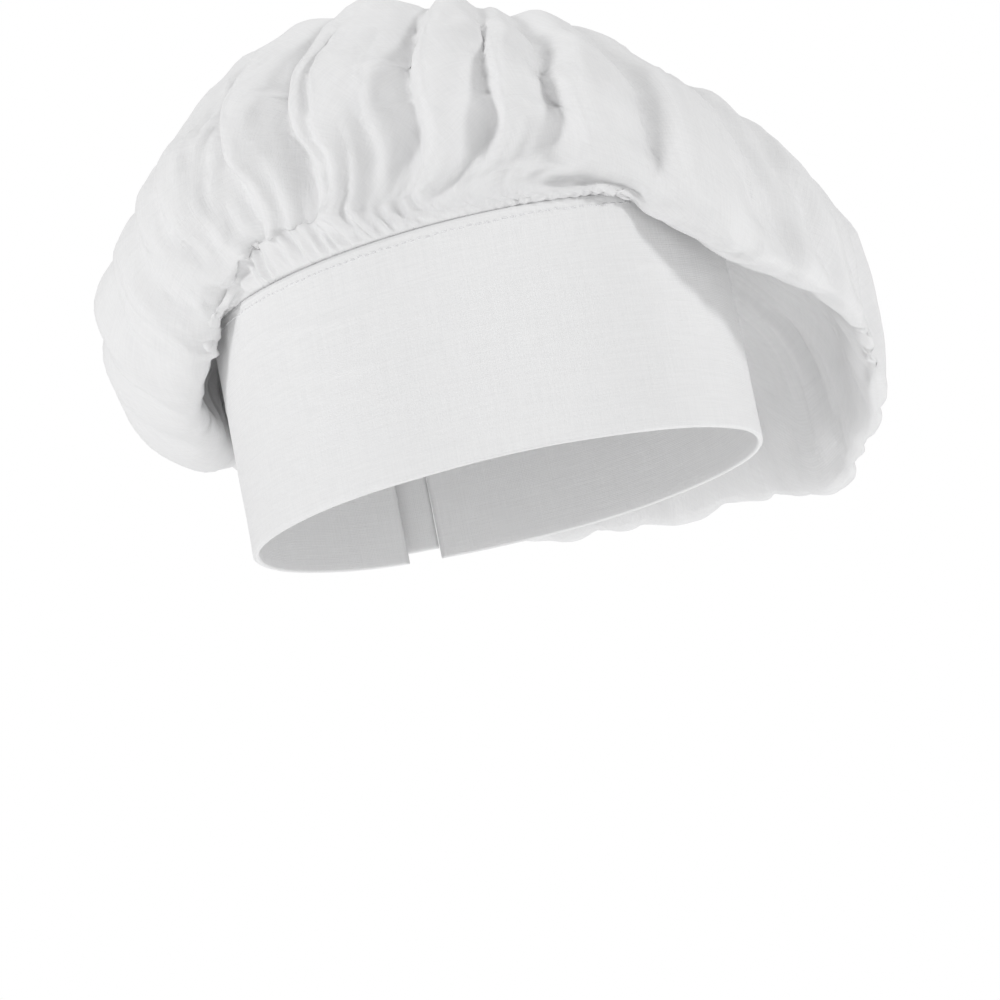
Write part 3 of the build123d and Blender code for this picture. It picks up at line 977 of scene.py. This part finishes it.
allowance_pitch = 0.0022
allowance_turns = oval_turns(band_start + 0.02, band_end - 0.02, allowance_pitch)
allowance_outs = np.array([0.0, 0.0, -1.0, -1.0]) * allowance_thickness + overlock_face
allowance_heights = np.array([0.0, 1.0, 1.0, 0.0]) * (overlock_height - 0.0008) + (
    band_top - overlock_height + 0.0004
)
ragged = 0.00035 * np.random.default_rng(9).uniform(-1, 1, (len(allowance_turns), 4))
allowance_points = oval_place(
    allowance_turns[:, None], allowance_outs[None, :], allowance_heights[None, :] + ragged
).reshape(-1, 3)
allowance_columns = len(allowance_turns)
allowance_faces = [face[::-1] for face in grid_faces(allowance_columns, 4, closed=True)]
allowance_faces.append((0, 1, 2, 3))
allowance_faces.append(tuple(4 * (allowance_columns - 1) + corner for corner in (3, 2, 1, 0)))
allowance_cut = np.stack([
    np.repeat(np.arange(allowance_columns) * allowance_pitch, 4), allowance_points[:, 2]
], axis=-1) / cut_unit
allowance = cloth_piece(
    "seam_allowance", allowance_points, allowance_faces, band_material, allowance_cut
)
looper_face = overlock_face - allowance_thickness - 0.0002
looper_low = band_top - overlock_height + 0.0003
looper_high = band_top - 0.0003
looper_points = []
for number, looper_turn in enumerate(oval_turns(band_start + 0.02, band_end - 0.02, 0.0012)):
    looper_end = looper_low if number % 2 else looper_high
    way_to_middle = 0.0006 if number % 2 else -0.0006
    looper_points.append(oval_place(looper_turn, looper_face + 0.0003, looper_end))
    looper_points.append(oval_place(looper_turn, looper_face, looper_end + way_to_middle))
overlock_threads = [allowance, thread_along("looper_thread", looper_points, 0.0004)]
for line_number, line_height in enumerate((looper_low + 0.0016, looper_low + 0.0042)):
    line_turns = oval_turns(band_start + 0.02, band_end - 0.02, 0.0014)
    line_out = looper_face - 0.0002 + 0.0002 * (np.arange(len(line_turns)) % 2)
    line_points = oval_place(line_turns, line_out, line_height)
    overlock_threads.append(thread_along(f"needle_thread_{line_number}", line_points, 0.0004))
overlock = join(overlock_threads, "crown_seam_overlocking")
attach(overlock, "hat")
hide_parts("crown_seam_overlock")

gather_turns = oval_turns(band_start + 0.02, band_end - 0.02, 0.0016)
gather_out = looper_face - 0.0004 - 0.0003 * np.sin(np.arange(len(gather_turns)) * 1.1)
gather_height = band_top - overlock_height + 0.0033 + 0.0002 * np.sin(
    np.arange(len(gather_turns)) * 0.37
)
gathering = thread_along(
    "gathering_thread_run", oval_place(gather_turns, gather_out, gather_height), 0.00045
)
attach(gathering, "hat")
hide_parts("gathering_thread")

# ---- back binding and bar tacks ------------------------------------------------------------
# Over the closure slit the crown's free edge is covered by a scrap of folded cotton tape, and
# a bar tack of close satin stitches holds each end of the slit.

binding_height = 0.008
binding_thickness = 0.0008


def bent_slab(name, start, end, inside, outside, low, high, material, bow=0.0, steps=0.0012):
    """A thin slab bent round the head oval, with rounded edges; bow swells its middle out."""
    bpy.ops.object.select_all(action="DESELECT")
    length = (end - start) * half_width
    columns = max(4, int(length / steps))
    rows = max(4, int((high - low) / steps))
    bpy.ops.mesh.primitive_grid_add(x_subdivisions=columns, y_subdivisions=rows, size=1)
    slab = bpy.context.active_object
    slab.name = name
    flat = np.array([vertex.co for vertex in slab.data.vertices])
    across, up = flat[:, 0] + 0.5, flat[:, 1] + 0.5
    middle = (inside + outside) / 2 + bow * np.sin(math.pi * across) * np.sin(math.pi * up)
    bent = oval_place(start + (end - start) * across, middle, low + (high - low) * up)
    slab.data.vertices.foreach_set("co", bent.ravel())
    slab.data.polygons.foreach_set("use_smooth", [True] * len(slab.data.polygons))
    slab.data.materials.append(material)
    give_thickness(slab, outside - inside)
    soften = slab.modifiers.new("soft edge", "BEVEL")
    soften.width = 0.3 * (outside - inside)
    soften.segments = 2
    soften.angle_limit = math.radians(50)
    bpy.ops.object.modifier_apply(modifier="soft edge")
    slab.data.uv_layers[0].name = "cut"
    return slab


binding = bent_slab(
    "crown_back_binding_tape", slit_start + 0.0006, slit_end - 0.0006,
    -band_thickness, -band_thickness + binding_thickness,
    band_top - binding_height, band_top - 0.00005, band_material, 0.0002,
)
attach(binding, "hat")
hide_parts("crown_back_binding")

tack_width = 0.002
tack_height = 0.009
tack_top = band_top - 0.0036
tack_turn = tack_width / half_width
for tack_name, tack_start in (
    ("left", slit_start - 2 * tack_turn), ("right", slit_end + tack_turn)
):
    tack_count = 20
    tack_heights = np.linspace(tack_top - tack_height, tack_top, tack_count)
    tack_turns = np.full(tack_count, tack_start + tack_turn / 2)
    tack_centres = oval_place(tack_turns, 0.0002, tack_heights)
    tack_alongs = np.cross((0, 0, 1), outward_at(tack_turns))
    tack_alongs[::2, 2] += 0.12
    stitch_row(f"bar_tack_{tack_name}_threads", tack_centres, tack_alongs,
               outward_at(tack_turns), "hat", f"bar_tack_{tack_name}")

# ---- closure strap -------------------------------------------------------------------------
# The strap is a doubled strip of band cotton round its own interfacing. It is sewn down beside
# the slit, steps out over the tapes and is top-stitched along its three free edges.

strap_length = 0.052
strap_low = 0.004
strap_high = 0.036
strap_step = 0.014
strap_seam_face = 0.00035
strap_face = 0.0028
stitch_inset = 0.003
strap_edge_radius = band_thickness / 2 - wall_inset


def strap_place(length, out, height):
    """Points of the strap: length from its seam, out from its inner face, height."""
    rise = np.clip(length / strap_step, 0, 1)
    offset = strap_seam_face + (strap_face - strap_seam_face) * rise ** 2 * (3 - 2 * rise) + out
    return oval_place(slit_start + length / half_width, offset, height)


strap_material = woven_cotton("strap cotton", weave_pitch, slub_depth, 0.018, 0.0006)
strap_columns = 44
strap_side = np.linspace(strap_low + 0.0012, strap_high - 0.0012, 22)
strap_turn_angles = np.linspace(-math.pi / 2, math.pi / 2, 7)[1:-1]
strap_section_out = np.concatenate([
    np.full(len(strap_side), band_thickness / 2 + strap_edge_radius),
    band_thickness / 2 + strap_edge_radius * np.sin(-strap_turn_angles),
    np.full(len(strap_side), band_thickness / 2 - strap_edge_radius),
    band_thickness / 2 + strap_edge_radius * np.sin(strap_turn_angles),
])
strap_section_height = np.concatenate([
    strap_side,
    strap_high - 0.0012 + 0.0008 * np.cos(strap_turn_angles),
    strap_side[::-1],
    strap_low + 0.0012 - 0.0008 * np.cos(strap_turn_angles),
])
strap_section_count = len(strap_section_out)
strap_lengths = np.concatenate([
    np.linspace(0.0, strap_length - 0.0012, strap_columns),
    [strap_length - 0.0007, strap_length - 0.0003],
])
strap_pinch = np.concatenate([np.ones(strap_columns), [0.75, 0.2]])
strap_points = []
for length, pinch in zip(strap_lengths, strap_pinch):
    outs = band_thickness / 2 + (strap_section_out - band_thickness / 2) * pinch
    up_strap = np.clip((strap_section_height - strap_low) / 0.032, 0, 1)
    quilt = np.sin(math.pi * up_strap) ** 0.5
    quilt = quilt * math.sin(math.pi * min(1, length / strap_length)) * 0.0003
    outs = outs + np.where(strap_section_out > band_thickness / 2, quilt, 0)
    strap_points.append(strap_place(length, outs, strap_section_height))
strap_points = np.concatenate(strap_points)
strap_faces = grid_faces(len(strap_lengths), strap_section_count, closed=True)
last_ring = (len(strap_lengths) - 1) * strap_section_count
strap_faces.append(tuple(last_ring + corner for corner in range(strap_section_count)))
strap_cut = np.stack([
    np.repeat(strap_lengths, strap_section_count), strap_points[:, 2]
], axis=-1) / cut_unit
strap = cloth_piece("strap_cloth_doubled", strap_points, strap_faces, strap_material, strap_cut)
strap_shape = bmesh.new()
strap_shape.from_mesh(strap.data)
bmesh.ops.recalc_face_normals(strap_shape, faces=strap_shape.faces)
bmesh.ops.triangulate(strap_shape, faces=[f for f in strap_shape.faces if len(f.verts) > 4])
strap_shape.to_mesh(strap.data)
strap_shape.free()
give_thickness(strap, cloth_thickness)
strap_hinge = strap_place(0.0, band_thickness / 2, 0.020)
strap_free = strap_place(stitch_inset, band_thickness / 2, 0.020)
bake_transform(strap)
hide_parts("strap_cloth")


def strap_stitches(name, node, rows):
    """Stitches on the strap's outer face, along straight rows of (length, height) ends."""
    centres, alongs, outs = [], [], []
    for (from_length, from_height), (to_length, to_height) in rows:
        row_length = math.hypot(to_length - from_length, to_height - from_height)
        count = int(row_length / stitch_pitch)
        for number in range(count):
            part = (number + 0.5) / count
            length = from_length + (to_length - from_length) * part
            height = from_height + (to_height - from_height) * part
            face = band_thickness + 0.0002
            here = strap_place(length, face, height)
            ahead = strap_place(
                length + 0.001 * (to_length - from_length) / row_length, face,
                height + 0.001 * (to_height - from_height) / row_length,
            )
            centres.append(here)
            alongs.append(ahead - here)
            outs.append(strap_place(length, face + 0.001, height) - here)
    return stitch_row(name, centres, alongs, outs, "strap", node)


row_start, row_end = 2 * stitch_inset, strap_length - stitch_inset
row_low, row_high = strap_low + stitch_inset, strap_high - stitch_inset
strap_stitches("strap_edge_stitches", "strap_edge_stitch", (
    ((row_start, row_high), (row_end, row_high)),
    ((row_start, row_low), (row_end, row_low)),
    ((row_end, row_low), (row_end, row_high)),
))
strap_stitches("strap_seam_stitches", "strap_seam_stitch", (
    ((stitch_inset, row_low), (stitch_inset, row_high)),
))

# ---- closure tapes -------------------------------------------------------------------------
# The strap closes on a woven hook-and-loop pair: nylon loops stand on the band's tape and short
# bent hooks on the strap's. Each tape is held by a line of stitches round its edge.

tape_length = 0.032
tape_end = slit_start + (strap_length - stitch_inset) / half_width
tape_start = tape_end - tape_length / half_width
tape_low, tape_high = 0.009, 0.031
loop_inside = 0.00005
hook_outside = 0.00275
ground_thickness = 0.0006


def nylon(name, tint_low, tint_high, roughness):
    """Woven nylon ground with a fine rib."""
    material = bpy.data.materials.new(name)
    material.use_nodes = True
    nodes, links = material.node_tree.nodes, material.node_tree.links
    shader = nodes["Principled BSDF"]
    shader.inputs["Roughness"].default_value = roughness
    place = nodes.new("ShaderNodeTexCoord")
    rib = nodes.new("ShaderNodeTexWave")
    rib.bands_direction = "Z"
    rib.inputs["Scale"].default_value = 480
    rib.inputs["Distortion"].default_value = 0.8
    links.new(place.outputs["Object"], rib.inputs["Vector"])
    tint = nodes.new("ShaderNodeValToRGB")
    tint.color_ramp.elements[0].color = tint_low
    tint.color_ramp.elements[1].color = tint_high
    links.new(rib.outputs[1], tint.inputs["Fac"])
    links.new(tint.outputs["Color"], shader.inputs["Base Color"])
    bump = nodes.new("ShaderNodeBump")
    bump.inputs["Distance"].default_value = 0.0001
    links.new(rib.outputs[1], bump.inputs["Height"])
    links.new(bump.outputs["Normal"], shader.inputs["Normal"])
    return material


def bristles(name, arches, material):
    """Many small bent filaments as one mesh; each arch is a list of points it passes through."""
    sides = 3
    points, faces = [], []
    for arch, thickness in arches:
        arch = np.array(arch)
        ways = np.gradient(arch, axis=0)
        first = len(points)
        for place, way in zip(arch, ways):
            way = way / (np.linalg.norm(way) + 1e-12)
            side = np.cross(way, (0.31, 0.52, 0.79))
            side = side / np.linalg.norm(side)
            other = np.cross(way, side)
            for number in range(sides):
                angle = 2 * math.pi * number / sides
                ring = side * math.cos(angle) + other * math.sin(angle)
                points.append(place + ring * thickness / 2)
        faces += [
            tuple(corner + first for corner in face)
            for face in grid_faces(len(arch), sides, closed=True)
        ]
        faces.append((first + 2, first + 1, first))
        last = first + (len(arch) - 1) * sides
        faces.append((last, last + 1, last + 2))
    points = np.array(points)
    return cloth_piece(name, points, faces, material, points[:, :2])


loop_material = nylon("loop tape nylon", (0.68, 0.68, 0.68, 1), (0.80, 0.80, 0.79, 1), 0.8)
hook_material = nylon("hook tape nylon", (0.64, 0.64, 0.64, 1), (0.76, 0.76, 0.75, 1), 0.45)
tape_random = np.random.default_rng(21)
loop_arches = []
for number in range(520):
    at_turn = tape_random.uniform(tape_start + 0.012, tape_end - 0.012)
    at_height = tape_random.uniform(tape_low + 0.001, tape_high - 0.001)
    way = tape_random.uniform(0, 2 * math.pi)
    spread = tape_random.uniform(0.0003, 0.0006)
    tall = tape_random.uniform(0.0004, 0.00065)
    arch = []
    for part in np.linspace(0, math.pi, 6):
        arch.append(oval_place(
            at_turn + spread * math.cos(way) * math.cos(part) / half_width,
            loop_inside + ground_thickness + tall * math.sin(part) - 0.0001,
            at_height + spread * math.sin(way) * math.cos(part),
        ))
    loop_arches.append((arch, 0.00009))
loop_ground = bent_slab("loop_ground", tape_start, tape_end, loop_inside,
                        loop_inside + ground_thickness, tape_low, tape_high, loop_material)
loop_tape = join([loop_ground, bristles("loops", loop_arches, loop_material)],
                 "loop_tape_brushed")
hook_arches = []
for at_height in np.arange(tape_low + 0.0014, tape_high - 0.0010, 0.0015):
    for at_turn in oval_turns(tape_start + 0.016, tape_end - 0.016, 0.0016):
        bend = [(0, 0.0000), (0, 0.00025), (0.0001, 0.0004), (0.0003, 0.00047), (0.00042, 0.0003)]
        hook_arches.append(([
            oval_place(at_turn, hook_outside - ground_thickness - rise + 0.0001,
                       at_height + reach)
            for reach, rise in bend
        ], 0.00016))
hook_ground = bent_slab("hook_ground", tape_start, tape_end, hook_outside - ground_thickness,
                        hook_outside, tape_low, tape_high, hook_material)
hook_tape = join([hook_ground, bristles("hooks", hook_arches, hook_material)],
                 "hook_tape_moulded")
for tape, body, node, slot in (
    (loop_tape, "hat", "loop_tape", "loop_nylon"),
    (hook_tape, "strap", "hook_tape", "hook_nylon"),
):
    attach(tape, body)
    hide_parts(node)


def tape_stitches(name, node, body, out, way_out):
    """Stitches round a tape's edge, at a distance out from the band."""
    edge = 0.0007
    around = edge / half_width
    centres, alongs, outs = [], [], []
    for height in (tape_low + edge, tape_high - edge):
        row = oval_stitches(tape_start + around, tape_end - around, out, height)
        centres += list(row[0])
        alongs += list(row[1])
        outs += list(way_out * row[2])
    for turn_at in (tape_start + around, tape_end - around):
        heights = np.arange(tape_low + 2 * edge + 0.001, tape_high - 2 * edge, stitch_pitch)
        turns = np.full(len(heights), turn_at)
        centres += list(oval_place(turns, out, heights))
        alongs += [np.array((0.0, 0.0, 1.0))] * len(heights)
        outs += list(way_out * outward_at(turns))
    return stitch_row(name, centres, alongs, outs, body, node)


tape_stitches("loop_tape_stitches", "loop_tape_stitch", "hat",
              loop_inside + ground_thickness + 0.0001, 1)
tape_stitches("hook_tape_stitches", "hook_tape_stitch", "strap",
              hook_outside - ground_thickness - 0.0001, -1)

# ---- care label ----------------------------------------------------------------------------
# A blank label of woven satin hangs from the overlocked allowance inside the back of the band.
# It stands a little away from the band.

label_width = 0.026
label_drop = 0.034
label_start = math.radians(118)
label_top = band_top - overlock_height - 0.00005

satin = bpy.data.materials.new("label satin")
satin.use_nodes = True
satin_nodes, satin_links = satin.node_tree.nodes, satin.node_tree.links
satin_shader = satin_nodes["Principled BSDF"]
satin_shader.inputs["Roughness"].default_value = 0.38
satin_shader.inputs["Sheen Weight"].default_value = 0.3
satin_place = satin_nodes.new("ShaderNodeTexCoord")
satin_rib = satin_nodes.new("ShaderNodeTexWave")
satin_rib.bands_direction = "Z"
satin_rib.inputs["Scale"].default_value = 1100
satin_rib.inputs["Distortion"].default_value = 1
satin_links.new(satin_place.outputs["Object"], satin_rib.inputs["Vector"])
satin_tint = satin_nodes.new("ShaderNodeValToRGB")
satin_tint.color_ramp.elements[0].color = (0.76, 0.76, 0.74, 1)
satin_tint.color_ramp.elements[1].color = (0.86, 0.86, 0.83, 1)
satin_links.new(satin_rib.outputs[1], satin_tint.inputs["Fac"])
satin_links.new(satin_tint.outputs["Color"], satin_shader.inputs["Base Color"])
satin_bump = satin_nodes.new("ShaderNodeBump")
satin_bump.inputs["Distance"].default_value = 0.00005
satin_links.new(satin_rib.outputs[1], satin_bump.inputs["Height"])
satin_links.new(satin_bump.outputs["Normal"], satin_shader.inputs["Normal"])

label = bent_slab(
    "care_label_satin", label_start, label_start + label_width / half_width,
    overlock_face - 0.0004, overlock_face, label_top - label_drop, label_top, satin,
)
label_points = np.array([vertex.co for vertex in label.data.vertices])
hang = np.clip((label_top - label_points[:, 2]) / label_drop, 0, 1)
across = np.degrees(np.arctan2(label_points[:, 1] / half_depth, label_points[:, 0] / half_width))
ripple = 0.0006 * np.sin(math.pi * (across - math.degrees(label_start)) / 9) * hang
stand = 0.0004 + 0.0026 * hang ** 2 + ripple
towards_middle = -label_points[:, :2]
towards_middle /= np.linalg.norm(towards_middle, axis=1)[:, None]
label_points[:, :2] += towards_middle * stand[:, None]
label.data.vertices.foreach_set("co", label_points.ravel())
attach(label, "hat")
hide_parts("care_label")
